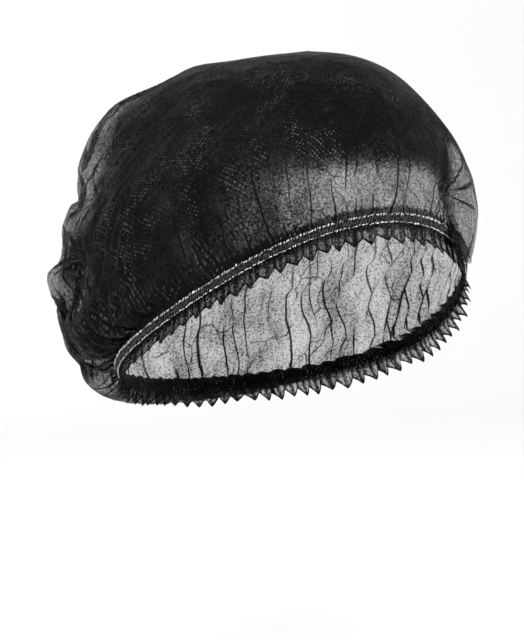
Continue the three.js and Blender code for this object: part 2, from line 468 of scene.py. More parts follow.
@dataclass(frozen=True)
class VeilFinish:
    """Sheer black spun-bonded cloth. Its see-through share follows the sheet's density.

    Cloth is the colour of the fibres, and bond is a painted glint: the lighter colour of a bond point
    that catches the light. Fibre, cloud, crumple and wrinkle are the sizes of patterns, glint is the
    size of the patches where the painted glint shows, and weights tell how strong creases are.
    Gathers run up from the rim, and the fan spreads from the pinched point and fades with distance.
    """

    cloth: Colour = (0.0014, 0.0015, 0.0014, 1)
    # Painted glint: the colour of a bond point where it catches the light.
    bond: Colour = (0.105, 0.108, 0.105, 1)
    pitch: float = 1.6 * MM
    fibre: float = 1.0 * MM
    cloud: float = 14 * MM
    gather_spacing: float = 7 * MM
    gather_length: float = 40 * MM
    gather_width: float = 0.34 * MM
    gather_sway: float = 1.5
    fan_spacing: float = 5.0 * MM
    fan_width: float = 0.5 * MM
    fan_sway: float = 0.6
    fan_fade: Range = (22 * MM, 36 * MM)
    fold_width: float = 16 * MM
    fold_length: float = 110 * MM
    crumple: float = 15 * MM
    crumple_weight: float = 0.3
    crease_weight: float = 7.0
    # Size of the patches where the bond points' painted glint shows, and how faint it is between them.
    glint: float = 15 * MM
    glint_edge: Range = (0.44, 0.68)
    least_glint: float = 0.08
    wrinkle: float = 17 * MM
    wrinkle_depth: float = 9 * MM
    relief: float = 0.12 * MM
    relief_strength: float = 0.6
    roughness: float = 0.5
    bond_roughness: float = 0.35
    gloss: float = 0.045

    def material(self) -> bpy.types.Material:
        """Makes the material.

        Returns:
            The material, for a sheet that carries its layers.
        """
        nodes = MaterialTree("sheer black non-woven")
        place = nodes.place()
        cloth, beside, pinch = (
            nodes.add("UVMap", {}, uv_map=layer.value).outputs[0]
            for layer in (Layer.CLOTH, Layer.BESIDE, Layer.PINCH)
        )
        density, gathered, loose = (
            nodes.add("Attribute", {}, attribute_name=layer.value).outputs["Fac"]
            for layer in (Layer.DENSITY, Layer.GATHERED, Layer.LOOSE)
        )
        bond = nodes.group(bond_points_group(), {"Cloth": cloth, "Pitch": self.pitch})
        inputs = {"Place": place, "Fibre": self.fibre, "Cloud": self.cloud}
        fibre = nodes.group(fibres_group(), inputs)
        gathers = gather_lines_group()
        inputs = {"Beside": beside, "Length": self.gather_length, "Spacing": self.gather_spacing}
        inputs |= {"Width": self.gather_width, "Sway": self.gather_sway}
        lines = nodes.group(gathers, inputs)
        inputs |= {"Beside": pinch, "Spacing": self.fan_spacing}
        inputs |= {"Width": self.fan_width, "Sway": self.fan_sway}
        distance = nodes.add("SeparateXYZ", {0: pinch}).outputs[1]
        near = nodes.ramp(distance, *self.fan_fade, 1.0, 0.0)
        fan = nodes.math("MULTIPLY", nodes.group(gathers, inputs), near)
        web = nodes.group(crumple_group(), {"Cloth": cloth, "Size": self.crumple})
        web = nodes.math("MULTIPLY", web, loose)
        drawn = nodes.math("MULTIPLY_ADD", lines, gathered, fan)
        creased = nodes.math("MULTIPLY_ADD", web, self.crumple_weight, drawn)
        folded = nodes.math("MULTIPLY_ADD", creased, self.crease_weight, fibre)
        inputs = {"Beside": beside, "Width": self.fold_width, "Length": self.fold_length}
        soft = nodes.group(soft_folds_group(), inputs)
        covering = nodes.math("MULTIPLY", nodes.math("MULTIPLY", density, soft), folded)
        through = nodes.math("POWER", math.e, nodes.math("MULTIPLY", covering, -1.0))
        # Painted glint: patches where the bond points are painted lighter, as if they caught the light.
        glint = nodes.noise(place, 1 / self.glint, 1.0, flat=False).outputs[0]
        glint = nodes.ramp(glint, *self.glint_edge, self.least_glint, 1.0)
        share = nodes.math("MULTIPLY", bond, glint)
        ripple = nodes.noise(place, 1 / self.wrinkle, 2.0, flat=False).outputs[0]
        ridge = nodes.math("ABSOLUTE", nodes.math("SUBTRACT", ripple, 0.5))
        height = nodes.math("MULTIPLY_ADD", ridge, -self.wrinkle_depth / self.relief, fibre)
        relief = {"Height": height, "Strength": self.relief_strength, "Distance": self.relief}
        return nodes.shade({
            "Base Color": nodes.mixed(share, self.cloth, self.bond),
            "Alpha": nodes.math("SUBTRACT", 1.0, through),
            "Roughness": nodes.ramp(bond, 0.0, 1.0, self.roughness, self.bond_roughness),
            "Normal": nodes.add("Bump", relief).outputs[0],
            "Specular IOR Level": self.gloss,
        })


@dataclass(frozen=True)
class YarnFinish:
    """Twisted yarn, from its dark to its light colour. The colour follows the relief, so it is partly
    the yarn's own colour and partly painted shade in the twist's hollows and painted highlight on its
    raised strands.
    """

    yarn: bpy.types.NodeTree
    name: str
    dark: Colour
    light: Colour
    strand: float = 0.35 * MM
    relief: float = 0.15 * MM
    relief_strength: float = 0.4
    dark_roughness: float = 0.72
    light_roughness: float = 0.52
    gloss: float = 0.1

    def material(self) -> bpy.types.Material:
        """Makes the material.

        Returns:
            The material.
        """
        nodes = MaterialTree(self.name)
        # Painted light and shade: one lightness gives both the colour and the relief, so the hollows are
        # painted dark and the raised strands painted light.
        light = nodes.group(self.yarn, {"Place": nodes.place(), "Strand": self.strand})
        relief = {"Height": light, "Strength": self.relief_strength, "Distance": self.relief}
        return nodes.shade({
            "Base Color": nodes.mixed(light, self.dark, self.light),
            "Roughness": nodes.ramp(light, 0.0, 1.0, self.dark_roughness, self.light_roughness),
            "Normal": nodes.add("Bump", relief).outputs[0],
            "Specular IOR Level": self.gloss,
        })


@dataclass
class Rim:
    """The line along the middle of the band, with the ways up, out and along it."""

    middle: np.ndarray
    up: np.ndarray
    out: np.ndarray
    places: np.ndarray = field(init=False)
    angles: np.ndarray = field(init=False)
    length: float = field(init=False)

    def __post_init__(self) -> None:
        """Measures the line."""
        steps = np.linalg.norm(np.roll(self.middle, -1, axis=0) - self.middle, axis=1)
        self.places = np.concatenate([[0.0], np.cumsum(steps)])
        self.angles = np.linspace(0, TURN, len(self.places))
        self.length = float(self.places[-1])

    def _along(self, values: np.ndarray, place: np.ndarray) -> np.ndarray:
        """Values round the rim, at places along it."""
        closed = np.concatenate([values, values[:1]])
        parts = [np.interp(place % self.length, self.places, closed[:, i]) for i in range(3)]
        return np.stack(parts, axis=-1)

    def point(self, place: np.ndarray, rise: np.ndarray, proud: np.ndarray) -> np.ndarray:
        """Points beside the rim.

        Args:
            place: How far along the rim each is, from the front.
            rise: How far up the cloth.
            proud: How far out of the cloth.

        Returns:
            The points.
        """
        place, rise, proud = np.broadcast_arrays(place, rise, proud)
        up, out = self._along(self.up, place), self._along(self.out, place)
        return self._along(self.middle, place) + up * rise[..., None] + out * proud[..., None]

    def frames(self, place: np.ndarray) -> np.ndarray:
        """The ways along, up and out at places along the rim, as rows of a matrix for each."""
        up, out = unit(self._along(self.up, place)), unit(self._along(self.out, place))
        return np.stack([unit(np.cross(up, out)), up, out], axis=1)

    def angle(self, place: np.ndarray) -> np.ndarray:
        """The angle round the cap at places along the rim."""
        return np.interp(place % self.length, self.places, self.angles)

    def place(self, angle: np.ndarray) -> np.ndarray:
        """The place along the rim at angles round the cap."""
        return np.interp(angle, self.angles, self.places)


@dataclass
class CapForm:
    """The smooth form of the worn cap, read from the crown's solid.

    Attributes:
        rows: Points of the cloth, by row from the rim to the apex and by column round the cap.
        shares: How far up the cloth each row lies, from 0 at the rim to 1 at the apex.
        first_rise: Height of the lowest row above the middle of the band.
        half_wall: How far the solid's outer face stands out from the middle of its wall.
        waves: Numbers of waves round the cap between which finer ones are smoothed away.
    """

    rows: np.ndarray
    shares: np.ndarray
    first_rise: float = 0.15 * MM
    half_wall: float = 0.5 * MM
    waves: Range = (11, 18)

    @classmethod
    def from_solid(cls, solid: bpy.types.Object) -> CapForm:
        """Reads the outer wall of the crown's solid, ring by ring from its apex down to its rim.

        Args:
            solid: The crown's node.

        Returns:
            The form, with its regular gathers smoothed away.
        """
        shell = bmesh.new()
        shell.from_mesh(solid.data)
        bmesh.ops.remove_doubles(shell, verts=shell.verts, dist=1e-6)
        apex = max(shell.verts, key=lambda vert: (len(vert.link_edges), vert.co.z))
        rings = [{apex}]
        seen = {apex}
        while rings[-1]:
            ring = {edge.other_vert(vert) for vert in rings[-1] for edge in vert.link_edges} - seen
            seen |= ring
            rings.append(ring)
        outer = rings[: (len(rings) - 1) // 2]
        columns = len(outer[1])
        rows = [cls._in_order(ring, columns) for ring in reversed(outer)]
        shell.free()
        smooth = columns_at(np.array(rows), columns, lambda order: fall(*cls.waves, order))
        steps = np.linalg.norm(np.diff(smooth, axis=0), axis=2)
        heights = np.concatenate([np.zeros((1, columns)), np.cumsum(steps, axis=0)])
        return cls(smooth, (heights / heights[-1]).mean(axis=1))

    @staticmethod
    def _in_order(ring: set[bmesh.types.BMVert], columns: int) -> np.ndarray:
        """Sorts a ring's points round the cap, from the front towards the right.

        Args:
            ring: The ring's points.
            columns: How many points to give for a ring that is a single point.

        Returns:
            The points in order.
        """
        points = np.array([vert.co for vert in ring])
        if len(points) == 1:
            return np.repeat(points, columns, axis=0)
        offset = points.mean(axis=0) - points
        angle = np.arctan2(offset[:, 0], offset[:, 1])
        return points[np.argsort((angle + math.pi / columns) % TURN)]

    def lengths(self, columns: int) -> np.ndarray:
        """Length of the cloth from rim to apex, at each of a number of columns."""
        fine = columns_at(self.rows, columns)
        return np.linalg.norm(np.diff(fine, axis=0), axis=2).sum(axis=0)

    def sheet(self, shares: np.ndarray, columns: int) -> np.ndarray:
        """Points of the cloth at the given shares of its height and number of columns."""
        return rows_at(self.shares, columns_at(self.rows, columns), shares)

    def rim(self, columns: int = 1440) -> Rim:
        """Finds the line along the middle of the band.

        Args:
            columns: The number of points along it.

        Returns:
            The line.
        """
        low, high = columns_at(self.rows[:2], columns)
        up = unit(high - low)
        out = unit(np.cross(up, np.roll(low, -1, axis=0) - np.roll(low, 1, axis=0)))
        return Rim(low - up * self.first_rise - out * self.half_wall, up, out)


@dataclass
class FlatCut:
    """The round piece of cloth that the cap is sewn from, laid flat.

    Attributes:
        front: Length of the cloth from the front of the rim to the apex.
        back: Length from the back of the rim to the apex.
    """

    front: float
    back: float

    @property
    def radius(self) -> float:
        """Radius of the cut inside the elastic."""
        return (self.front + self.back) / 2


@dataclass
class Strip:
    """Rows of points with one number of columns, from which a sheet is put together.

    Attributes:
        rows: The points.
        values: Values at the points.
        maps: Two coordinates at each point, and the distance after which the first of them comes round.
    """

    rows: np.ndarray
    values: dict[Layer, np.ndarray]
    maps: dict[Layer, np.ndarray]

    def last(self, point: np.ndarray) -> Strip:
        """Makes a pole above the last row, with that row's mean values.

        Args:
            point: The pole's place.

        Returns:
            The pole, as a row of one point.
        """
        values, maps = (
            {layer: row[-1:].mean(axis=1, keepdims=True) for layer, row in layers.items()}
            for layers in (self.values, self.maps)
        )
        return Strip(point.reshape(1, 1, 3), values, maps)


def sheet_faces(counts: list[int]) -> list[tuple[int, ...]]:
    """Joins rows of points, each with as many points as the one below, or half as many, or one.

    Args:
        counts: The number of points in each row, from the lowest row to the highest.

    Returns:
        The faces, which name the points row after row.
    """
    starts = np.cumsum([0] + counts)
    faces: list[tuple[int, ...]] = []
    for count, above, start, upper in zip(counts, counts[1:], starts, starts[1:]):
        if above == 1:
            faces += [(start + c, upper, start + (c + 1) % count) for c in range(count)]
            continue
        for c in range(above):
            d = (c + 1) % above
            if above == count:
                faces.append((start + c, upper + c, upper + d, start + d))
                continue
            left, middle, right = start + 2 * c, start + 2 * c + 1, start + (2 * c + 2) % count
            faces.append((left, upper + c, middle))
            faces.append((middle, upper + c, upper + d))
            faces.append((middle, upper + d, right))
    return faces


def sheet_mesh(name: str, strips: list[Strip]) -> bpy.types.Mesh:
    """Joins strips of rows into one sheet.

    Args:
        name: The mesh's name.
        strips: The strips from the lowest to the highest. A last row of one point is a pole.

    Returns:
        The mesh, which carries its layers.
    """
    rows = [row for strip in strips for row in strip.rows]
    faces = sheet_faces([len(row) for row in rows])
    mesh = bpy.data.meshes.new(name)
    mesh.from_pydata(np.concatenate(rows).tolist(), [], faces)
    for layer in strips[0].values:
        value = np.concatenate([row for strip in strips for row in strip.values[layer]])
        mesh.attributes.new(layer.value, "FLOAT", "POINT").data.foreach_set("value", value)
    corner = np.concatenate([np.array(face) for face in faces])
    first = np.concatenate([np.full(len(face), face[0]) for face in faces])
    for layer in strips[0].maps:
        place = np.concatenate([row for strip in strips for row in strip.maps[layer]])
        near = place[corner]
        near[:, 0] -= np.round((near[:, 0] - place[first, 0]) / near[:, 2]) * near[:, 2]
        mesh.uv_layers.new(name=layer.value).data.foreach_set("uv", near[:, :2].ravel())
    mesh.shade_smooth()
    return mesh


@dataclass
class Settling:
    """Buckles the spare cloth of a sheet that is held at its rim and its apex.

    Every thread has the length that it has in the flat cloth. A thread with too little room pushes its
    ends apart, so the cloth buckles, while its stiffness and what lies under it hold it back.

    Attributes:
        steps: Passes over all the threads.
        stretch: How far a thread that is too short or too long gives way in a pass.
        shear: The same for a slanting one.
        bends: Threads' spacing for stiffness in bending, and how far one gives way in a pass.
        outward: Room to move outwards, as a share of the room to move inwards.
    """

    steps: int = 240
    stretch: float = 0.8
    shear: float = 0.3
    bends: tuple[tuple[int, float], ...] = ((2, 0.22), (4, 0.07))
    outward: float = 0.15

    def run(
        self,
        home: np.ndarray,
        start: np.ndarray,
        across: np.ndarray,
        upward: np.ndarray,
        hold: np.ndarray,
        room: np.ndarray,
    ) -> np.ndarray:
        """Settles the sheet.

        Args:
            home: The sheet's smooth form, by row and column.
            start: Where its points start.
            across: Spare length of the threads that run round the cap, as a share.
            upward: Spare length of the threads that run up it, as a share.
            hold: How far a point goes back towards its smooth place in a pass. 1 holds it there.
            room: How far a point may move inwards from its smooth place.

        Returns:
            The settled sheet.
        """
        shape = home.shape[:2]
        links = self._links(home, across, upward)
        out = normals_of(home).reshape(-1, 3)
        home = home.reshape(-1, 3)
        points = start.reshape(-1, 3).copy()
        hold, room = hold.reshape(-1, 1), room.ravel()
        free = (hold[:, 0] < 1).astype(float)
        for _ in range(self.steps):
            for a, b, rest, give in links:
                span = points[b] - points[a]
                size = np.sqrt(np.einsum("ij,ij->i", span, span)) + 1e-9
                span *= (give * (size - rest) / (size * (free[a] + free[b] + 1e-6)))[:, None]
                points[a] += span * free[a][:, None]
                points[b] -= span * free[b][:, None]
            depth = np.einsum("ij,ij->i", points - home, out)
            points += (np.clip(depth, -room, self.outward * room) - depth)[:, None] * out
            points += hold * (home - points)
        return points.reshape(*shape, 3)

    def _links(self, home: np.ndarray, across: np.ndarray, upward: np.ndarray) -> list[tuple]:
        """Joins the points with threads.

        Args:
            home: The sheet's smooth form, by row and column.
            across: Spare length of the threads that run round the cap, as a share.
            upward: Spare length of the threads that run up it, as a share.

        Returns:
            Pairs of points, their lengths in the flat cloth and their stiffness, in free-standing sets.
        """
        rows, columns = home.shape[:2]
        index = np.arange(rows * columns).reshape(rows, columns)
        row, column = np.indices((rows, columns))
        wide = np.linalg.norm(np.roll(home, -1, axis=1) - home, axis=2) * (1 + across)
        tall = np.linalg.norm(home[1:] - home[:-1], axis=2) * (1 + upward[:-1])
        links = []

        def join(a: np.ndarray, b: np.ndarray, rest: np.ndarray, give: float, turn: np.ndarray) -> None:
            """Adds links in two sets, so that no point is in one set twice."""
            for half in (0, 1):
                chosen = turn % 2 == half
                links.append((a[chosen], b[chosen], rest[chosen], give))

        join(index, np.roll(index, -1, axis=1), wide, self.stretch, column)
        join(index[:-1], index[1:], tall, self.stretch, row[:-1])
        for way in (-1, 1):
            far = np.roll(index, way, axis=1)[1:]
            side = wide if way == -1 else np.roll(wide, 1, axis=1)
            join(index[:-1], far, np.hypot(side[:-1], tall), self.shear, row[:-1])
        for skip, give in self.bends:
            reach = sum(np.roll(wide, -i, axis=1) for i in range(skip))
            join(index, np.roll(index, -skip, axis=1), reach, give, column // skip)
            climb = sum(tall[i : len(tall) - skip + 1 + i] for i in range(skip))
            join(index[:-skip], index[skip:], climb, give, row[:-skip] // skip)
        return links


@dataclass
class Creases:
    """Fine pressed creases that fan up from the elastic where the cloth is gathered into it.

    Depth and width are those of the deepest and widest crease, and narrowest and faintest are shares of
    the largest. Uneven is how far one is moved from its even place, as a share of their spacing. Lean is
    a usual slope, and bow a usual bend over the longest length. The more shortness, the more short ones,
    and the more sharpness, the plainer their edges.
    """

    rim: Rim
    count: int = 150
    uneven: float = 0.45
    shortest: float = 7 * MM
    longest: float = 38 * MM
    shortness: float = 2.2
    depth: float = 0.8 * MM
    width: float = 1.1 * MM
    narrowest: float = 0.5
    sharpness: float = 1.5
    faintest: float = 0.35
    lean: float = 0.16
    bow: float = 4 * MM
    seed: int = 21

    def at(self, place: np.ndarray, rise: np.ndarray) -> np.ndarray:
        """How strongly creased the cloth is.

        Args:
            place: Places along the rim.
            rise: Heights above the rim.

        Returns:
            The depth of the creases, from 0 to about 1.
        """
        rng = np.random.default_rng(self.seed)
        even = (np.arange(self.count) + rng.uniform(-self.uneven, self.uneven, self.count)) / self.count
        total = np.zeros(np.broadcast(place, rise).shape)
        for start in even * self.rim.length:
            share = rng.random() ** self.shortness
            length = self.shortest + (self.longest - self.shortest) * share
            width = self.width * rng.uniform(self.narrowest, 1)
            lean = rng.normal(0, self.lean)
            bow = rng.normal(0, self.bow)
            strength = rng.uniform(self.faintest, 1)
            shift = (place - start - lean * rise - bow * (rise / self.longest) ** 2) / self.rim.length
            away = (shift - np.round(shift)) * self.rim.length
            fade = np.clip(1 - rise / length, 0, 1)
            total += strength * fade * np.exp(-np.abs(away / width) ** self.sharpness)
        return total


@dataclass(frozen=True)
class BagFolds:
    """Folds across the right side of the bag: a full fold, with a hollow above it and a tuck below.

    Side holds angles in degrees, and clear holds the heights between which the folds start. Levels are
    those of a fold's middle, and a fold's height is half of its whole height.
    """

    side: Ends = (75, 105, 150, 185)
    clear: Range = (BEHIND_ELASTIC, 16 * MM)
    hollow: Ends = (14.5 * MM, 20.5 * MM, 22 * MM, 42 * MM)
    hollow_depth: float = 4.6 * MM
    full_level: float = -6 * MM
    full_height: float = 13 * MM
    full_depth: float = 3 * MM
    tuck_level: float = -29 * MM
    tuck_height: float = 6 * MM
    tuck_depth: float = 3 * MM

    def on(self, smooth: np.ndarray, rises: np.ndarray) -> np.ndarray:
        """Adds the folds to the form.

        Args:
            smooth: The smooth form, by row and column.
            rises: Heights of its rows above the rim.

        Returns:
            The form with its folds.
        """
        columns = smooth.shape[1]
        turn = np.arange(columns) / columns * 360
        side = plateau(self.side, turn) * smoothstep(*self.clear, rises)[:, None]
        level = smooth[..., 2]
        out = self.full_depth * bell(self.full_level, self.full_height, level)
        out = out - self.hollow_depth * plateau(self.hollow, level)
        out = out - self.tuck_depth * bell(self.tuck_level, self.tuck_height, level)
        return smooth + normals_of(smooth) * (out * side)[..., None]


@dataclass(frozen=True)
class SidePuff:
    """The thin puff of cloth at the front left, which starts at a fold and hangs over the elastic.

    Angles are in degrees to the left of the front.

    Attributes:
        turn: Angle of the fold.
        lean: How much further left the fold meets the rim.
        lean_height: Height up to which it leans.
        top_lean: How much further left its top stands.
        top: Heights between which its top leans.
        fold_end: Heights between which it fades.
        front_width: Its half width on its front side.
        back_width: Its half width on the puff's side.
        gap: How far behind the fold the puff starts.
        edge: Angle over which it starts.
        end: Angles between which it ends.
        ceiling: Levels between which it ends.
        pinch_height: Height of the point where the cloth is pinched.
        pinch_radius: Radius on which bearings round that point are measured.
        hangs: Angles between which the puff hangs over the elastic.
        out_reach: Heights between which it then stands out.
        down_reach: Heights between which it hangs down.
    """

    turn: float = 20
    lean: float = 12
    lean_height: float = 30 * MM
    top_lean: float = 8
    top: Range = (50 * MM, 90 * MM)
    fold_end: Range = (60 * MM, 95 * MM)
    front_width: float = 1.8
    back_width: float = 4.0
    fold_depth: float = 1.2 * MM
    gap: float = 1
    edge: float = 4
    end: Range = (55, 95)
    ceiling: Range = (62 * MM, 92 * MM)
    pinch_height: float = 15 * MM
    pinch_radius: float = 14 * MM
    hangs: Ends = (20, 30, 35, 58)
    hang_out: float = 6 * MM
    out_reach: Ends = (BEHIND_ELASTIC, 10 * MM, 15 * MM, 50 * MM)
    hang_down: float = 17 * MM
    down_reach: Ends = (BEHIND_ELASTIC, 14 * MM, 15 * MM, 55 * MM)

    def _low(self, rise: np.ndarray) -> np.ndarray:
        """How low a height is, from 1 at the rim to 0 where the fold no longer leans."""
        return fall(0, self.lean_height, rise)

    def fold(self, left: np.ndarray, rise: np.ndarray) -> np.ndarray:
        """Where the fold is.

        Args:
            left: Angles to the left of the front.
            rise: Heights above the rim.

        Returns:
            The fold, from 0 to 1.
        """
        low = self._low(rise)
        away = left - self.turn - self.lean * low - self.top_lean * smoothstep(*self.top, rise)
        width = np.where(away < 0, self.front_width, self.back_width) * (1 + low)
        return bell(0, width, away) * fall(*self.fold_end, rise)

    def cover(self, left: np.ndarray, rise: np.ndarray, level: np.ndarray) -> np.ndarray:
        """Where the puff is.

        Args:
            left: Angles to the left of the front.
            rise: Heights above the rim.
            level: Levels of the cloth.

        Returns:
            The puff, from 0 to 1.
        """
        start = self.turn + self.gap + self.lean * self._low(rise)
        inside = smoothstep(0, self.edge, left - start) * fall(*self.end, left)
        return inside * fall(*self.ceiling, level)

    def hanging(self, columns: int) -> np.ndarray:
        """Where the puff hangs over the elastic, from 0 to 1 at each column."""
        return plateau(self.hangs, 360 - np.arange(columns) / columns * 360)

    def overhung(self, smooth: np.ndarray, rises: np.ndarray, rim: Rim) -> np.ndarray:
        """Lets the puff hang down over the elastic.

        Args:
            smooth: The smooth form, by row and column.
            rises: Heights of its rows above the rim.
            rim: The rim, with as many columns.

        Returns:
            The form with the overhanging puff.
        """
        side = self.hanging(smooth.shape[1])
        out = self.hang_out * plateau(self.out_reach, rises[:, None]) * side
        down = self.hang_down * plateau(self.down_reach, rises[:, None]) * side
        return smooth + rim.out * out[..., None] - rim.up * down[..., None]

    def from_pinch(self, rows: np.ndarray, rim: Rim) -> tuple[np.ndarray, np.ndarray]:
        """Measures the cloth from the point where it is pinched.

        Args:
            rows: Points of the cloth.
            rim: The rim.

        Returns:
            Bearings, as lengths round that point, and distances, which are far on its front side.
        """
        far = 1.0
        place = rim.place(np.radians([360 - self.turn]))
        offset = rows - rim.point(place, self.pinch_height, 0.0)
        beside, above = (offset @ way for way in rim.frames(place)[0, :2])
        distance = np.where(beside > 0, np.linalg.norm(offset, axis=-1), far)
        return np.arctan2(above, beside) * self.pinch_radius, distance


@dataclass(frozen=True)
class ThinFront:
    """The thin cloth low at the front, with a wavy top edge.

    Its height above the rim rises and then drops to the right of the front. Turns, right and left hold
    angles in degrees, waves is a number all round the cap, and blur is how far below and above its top
    edge it fades.
    """

    height: float = 44 * MM
    rise: float = 13 * MM
    rise_turn: Range = (-10, 30)
    drop: float = 22 * MM
    drop_turn: Range = (35, 65)
    wave: float = 3 * MM
    waves: int = 8
    wave_start: float = 2
    right: Range = (18, 70)
    left: Range = (25, 60)
    blur: Range = (-16 * MM, 11 * MM)

    def cover(self, degrees: np.ndarray, rise: np.ndarray) -> np.ndarray:
        """Where the thin cloth is.

        Args:
            degrees: Angles round the cap.
            rise: Heights above the rim.

        Returns:
            The thin cloth, from 0 to 1.
        """
        top = self.height + self.rise * smoothstep(*self.rise_turn, degrees)
        top = top - self.drop * smoothstep(*self.drop_turn, degrees)
        top = top + self.wave * np.sin(np.radians(self.waves * degrees) + self.wave_start)
        wide = fall(*self.right, degrees) * fall(*self.left, -degrees)
        return wide * fall(*self.blur, rise - top)


@dataclass(frozen=True)
class FreeCloth:
    """The cloth that stands free at the back and on the left.

    It stands free below a top level, which drops on the left, and where it faces away from the way that
    the closest cloth lies towards. Left holds angles in degrees.
    """

    lies_towards: tuple[float, float, float] = (-0.54, -0.84, 0.03)
    facing: Range = (0.32, 0.66)
    top: float = 108 * MM
    drop: float = 24 * MM
    left: Ends = (5, 25, 100, 150)
    blur: Range = (-18 * MM, 14 * MM)

    def cover(self, degrees: np.ndarray, smooth: np.ndarray) -> np.ndarray:
        """How freely the cloth stands.

        Args:
            degrees: Angles round the cap.
            smooth: Points of the smooth form.

        Returns:
            The freedom, from 0 to 1.
        """
        facing = normals_of(smooth) @ np.array(self.lies_towards)
        top = self.top - self.drop * plateau(self.left, -degrees)
        return fall(*self.facing, facing) * fall(*self.blur, smooth[..., 2] - top)


@dataclass(frozen=True)
class SpareCloth:
    """The crown's spare cloth, which buckles, and how firmly the cloth is held to its smooth form.

    Gather and side are spare cloth round the cap, and slacks are spare cloth up and down, all as shares.
    Side values add to those of the front. Holds are how far a point goes back in each pass. Starts, ends
    and reaches are heights. The stir that starts the buckling has gathers near the rim and billows
    above, each with its fewest and most waves and the rows over which they change.
    """

    back: Range = (-0.2, 0.75)
    front: Range = (-0.25, 0.45)
    gather: float = 0.24
    gather_start: float = 7 * MM
    gather_reach: float = 42 * MM
    gather_edge: float = 1.5
    plain_front: float = 0.7
    side: float = 0.06
    side_end: Range = (90 * MM, 150 * MM)
    front_slack: float = 0.012
    side_slack: float = 0.03
    back_slack: float = 0.10
    slack_start: Range = (10 * MM, 30 * MM)
    slack_end: Range = (105 * MM, 150 * MM)
    hold: float = 0.008
    front_hold: float = 0.05
    top_hold: float = 0.1
    top: Range = (120 * MM, 175 * MM)
    puff_hold: float = 0.2
    puff_end: Range = (20 * MM, 40 * MM)
    room: float = 1.2 * MM
    side_room: float = 4.6 * MM
    room_start: float = 14 * MM
    stir: float = 0.8 * MM
    gathers: tuple[int, int, int] = (45, 110, 8)
    gathers_reach: float = 30 * MM
    billows: tuple[int, int, int] = (6, 28, 2)
    billows_start: Range = (15 * MM, 50 * MM)
    seed: int = 7

    def settle(self, smooth: np.ndarray, rises: np.ndarray, hanging: np.ndarray) -> np.ndarray:
        """Lets the spare cloth buckle.

        Args:
            smooth: The smooth form, by row and column.
            rises: Heights of its rows above the rim.
            hanging: Where the puff hangs over the elastic, at each column.

        Returns:
            The settled form.
        """
        rows, columns = smooth.shape[:2]
        angle = np.arange(columns)[None, :] / columns * TURN
        rise = rises[:, None]
        back = smoothstep(*self.back, -np.cos(angle))
        front = smoothstep(*self.front, np.cos(angle))
        begun = smoothstep(0, self.gather_start, rise)
        across = self.gather * begun * np.exp(-((rise / self.gather_reach) ** self.gather_edge))
        across = across * (1 - self.plain_front * front)
        across = across + self.side * (1 - front) * begun * fall(*self.side_end, rise)
        upward = self.front_slack + self.back_slack * back + self.side_slack * (1 - front)
        upward = upward * smoothstep(*self.slack_start, rise) * fall(*self.slack_end, rise)
        hold = self.hold + self.front_hold * front + self.top_hold * smoothstep(*self.top, rise)
        hold = hold + self.puff_hold * hanging * fall(*self.puff_end, rise)
        hold = np.where(rise < BEHIND_ELASTIC, 1.0, hold)
        hold[-1] = 1.0
        room = (self.room + self.side_room * (1 - front)) * smoothstep(0, self.room_start, rise)
        stir = self._streaks(rows, columns, *self.gathers) * np.exp(-rise / self.gathers_reach)
        stir = stir + self._streaks(rows, columns, *self.billows) * smoothstep(*self.billows_start, rise)
        start = smooth + normals_of(smooth) * (stir * self.stir * (hold < 1))[..., None]
        return Settling().run(smooth, start, across, upward, hold, room)

    def _streaks(self, rows: int, columns: int, low: int, high: int, reach: int) -> np.ndarray:
        """Random waves round the cap that change slowly from row to row.

        Args:
            rows: Number of rows.
            columns: Number of columns.
            low: Fewest waves round the cap.
            high: Most waves round the cap.
            reach: Rows over which the waves change.

        Returns:
            The waves, about 1 high.
        """
        rng = np.random.default_rng(self.seed + low)
        waves = np.fft.rfft(rng.normal(size=(rows, columns)), axis=1)
        order = np.arange(waves.shape[1])
        raw = np.fft.irfft(waves * ((order >= low) & (order <= high)), n=columns, axis=1)
        kernel = bell(0, reach, np.arange(-3 * reach, 3 * reach + 1))
        even = np.stack([np.convolve(line, kernel, "same") for line in raw.T], axis=1)
        return even / even.std()


